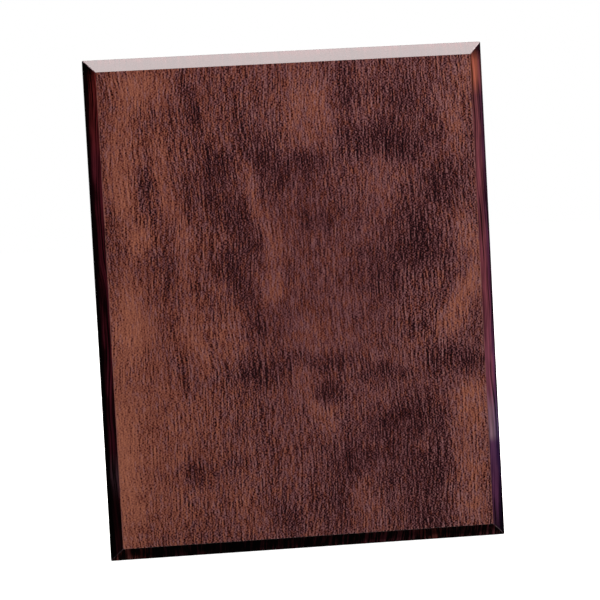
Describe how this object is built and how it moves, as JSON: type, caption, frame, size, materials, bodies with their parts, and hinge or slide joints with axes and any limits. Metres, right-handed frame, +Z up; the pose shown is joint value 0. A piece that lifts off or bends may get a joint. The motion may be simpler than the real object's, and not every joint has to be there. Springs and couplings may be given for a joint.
{
  "type": "wooden award plaque",
  "caption": "Upright wooden award plaque with a veneered face, dark polished bevels mitred at the corners, and keyhole hangers and bumpers on the back.",
  "frame": {"origin": "centre of the upright hanger's round entry hole, on the back surface of the board", "axes": "+Z up when the plaque hangs upright, along its height; +Y out of the back, towards the wall; the face looks along -Y and +X is to the right of someone facing it"},
  "size_m": [0.2032, 0.0174, 0.254],
  "materials": {
    "core_fibreboard": "raw fibreboard",
    "face_veneer": "satin lacquer",
    "bevel_facing": "high gloss lacquer",
    "edge_band": "high gloss lacquer",
    "back_veneer": "thin matt lacquer",
    "hanger_steel": "zinc plated",
    "screw_steel": "zinc plated",
    "bumper_rubber": "matt black"
  },
  "bodies": {
    "root": {"core_board": "core_fibreboard", "face_veneer": "face_veneer", "back_veneer": "back_veneer", "top_bevel_facing": "bevel_facing", "right_bevel_facing": "bevel_facing", "bottom_bevel_facing": "bevel_facing", "left_bevel_facing": "bevel_facing", "top_edge_band": "edge_band", "right_edge_band": "edge_band", "bottom_edge_band": "edge_band", "left_edge_band": "edge_band", "upright_hanger_plate": "hanger_steel", "upright_hanger_upper_screw": "screw_steel", "upright_hanger_lower_screw": "screw_steel", "sideways_hanger_plate": "hanger_steel", "sideways_hanger_outer_screw": "screw_steel", "sideways_hanger_inner_screw": "screw_steel", "wall_bumper_top_left": "bumper_rubber", "wall_bumper_top_right": "bumper_rubber", "wall_bumper_bottom_left": "bumper_rubber", "wall_bumper_bottom_right": "bumper_rubber"}
  },
  "joints": []
}
